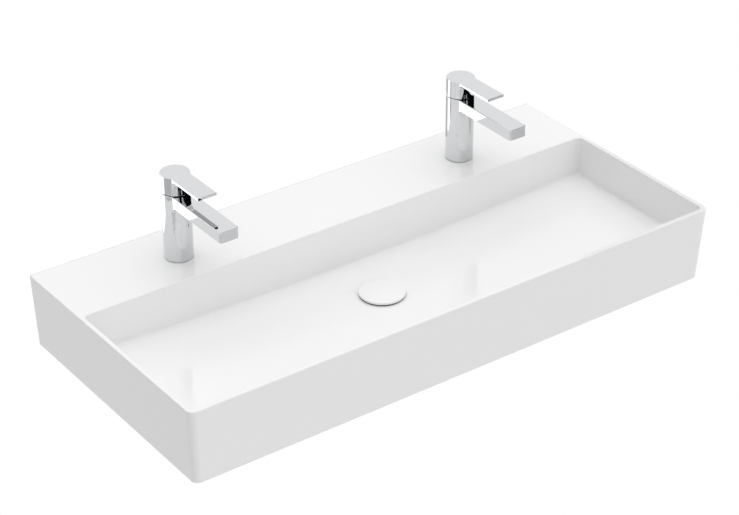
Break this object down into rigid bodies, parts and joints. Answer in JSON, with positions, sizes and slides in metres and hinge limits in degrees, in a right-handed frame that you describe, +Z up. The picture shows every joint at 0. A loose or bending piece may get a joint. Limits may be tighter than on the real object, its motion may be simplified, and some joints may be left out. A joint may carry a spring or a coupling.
{
  "type": "double washbasin",
  "caption": "Wide wall-hung washbasin with one long bowl, a rear deck with single-lever mixer taps, and a central waste under a round ceramic cover.",
  "frame": {"origin": "on the wall face, at the basin's underside, in the middle of its length", "axes": "+X along the basin to the right seen from the front, +Y into the wall, +Z up"},
  "size_m": [0.9998, 0.4699, 0.3272],
  "materials": {
    "glazed_ceramic": "gloss white glaze",
    "chrome": "polished chrome plate on brass",
    "chromed_plastic": "chrome-coloured",
    "brass": "turned",
    "steel": "zinc-plated",
    "rubber": "matt black",
    "white_plastic": "moulded",
    "grey_plastic": "moulded",
    "disc_ceramic": "lapped"
  },
  "bodies": {
    "basin_and_taps": {"basin": "glazed_ceramic", "waste_body": "chrome", "flange_seal": "rubber", "under_seal": "rubber", "slip_washer": "white_plastic", "lock_nut": "brass", "left_tap_body": "chrome", "left_cartridge_base": "white_plastic", "left_base_seals": "rubber", "left_fixed_disc": "disc_ceramic", "left_cartridge_housing": "white_plastic", "left_retaining_nut": "brass", "left_dome_ring": "chrome", "left_aerator_housing": "chrome", "left_aerator_insert": "grey_plastic", "left_aerator_seal": "rubber", "left_foot_seal": "rubber", "left_fixing_stud": "steel", "left_clamp_washer": "rubber", "left_clamp_plate": "steel", "left_clamp_nut": "brass", "right_tap_body": "chrome", "right_cartridge_base": "white_plastic", "right_base_seals": "rubber", "right_fixed_disc": "disc_ceramic", "right_cartridge_housing": "white_plastic", "right_retaining_nut": "brass", "right_dome_ring": "chrome", "right_aerator_housing": "chrome", "right_aerator_insert": "grey_plastic", "right_aerator_seal": "rubber", "right_foot_seal": "rubber", "right_fixing_stud": "steel", "right_clamp_washer": "rubber", "right_clamp_plate": "steel", "right_clamp_nut": "brass"},
    "left_rotor": {"left_rotor": "white_plastic", "left_spindle_pin": "steel"},
    "left_handle": {"left_lever": "chrome", "left_index_plug": "chromed_plastic", "left_grub_screw": "steel", "left_spindle": "steel"},
    "left_discs": {"left_moving_disc": "disc_ceramic", "left_disc_carrier": "white_plastic"},
    "right_rotor": {"right_rotor": "white_plastic", "right_spindle_pin": "steel"},
    "right_handle": {"right_lever": "chrome", "right_index_plug": "chromed_plastic", "right_grub_screw": "steel", "right_spindle": "steel"},
    "right_discs": {"right_moving_disc": "disc_ceramic", "right_disc_carrier": "white_plastic"},
    "cover": {"waste_cover": "glazed_ceramic", "cover_cushion": "rubber", "cover_carrier": "chrome"}
  },
  "joints": [
    {"name": "left_turn", "type": "hinge", "parent": "basin_and_taps", "child": "left_rotor", "pos_m": [-0.28, -0.086, 0.25], "axis": [0, 0, 1], "range_deg": [-45, 45]},
    {"name": "left_lift", "type": "hinge", "parent": "left_rotor", "child": "left_handle", "pos_m": [-0.28, -0.086, 0.25], "axis": [-1, 0, 0], "range_deg": [0, 25]},
    {"name": "left_disc_slide", "type": "slide", "parent": "left_rotor", "child": "left_discs", "axis": [0, -1, 0], "range_m": [0, 0.00405]},
    {"name": "right_turn", "type": "hinge", "parent": "basin_and_taps", "child": "right_rotor", "pos_m": [0.28, -0.086, 0.25], "axis": [0, 0, 1], "range_deg": [-45, 45]},
    {"name": "right_lift", "type": "hinge", "parent": "right_rotor", "child": "right_handle", "pos_m": [0.28, -0.086, 0.25], "axis": [-1, 0, 0], "range_deg": [0, 25]},
    {"name": "right_disc_slide", "type": "slide", "parent": "right_rotor", "child": "right_discs", "axis": [0, -1, 0], "range_m": [0, 0.00405]},
    {"name": "cover_lift", "type": "slide", "parent": "basin_and_taps", "child": "cover", "axis": [0, 0, 1], "range_m": [0, 0.04]}
  ],
  "couplings": [
    {"joint": "left_disc_slide", "follows": "left_lift", "m_per_rad": 0.009201},
    {"joint": "right_disc_slide", "follows": "right_lift", "m_per_rad": 0.009201}
  ]
}
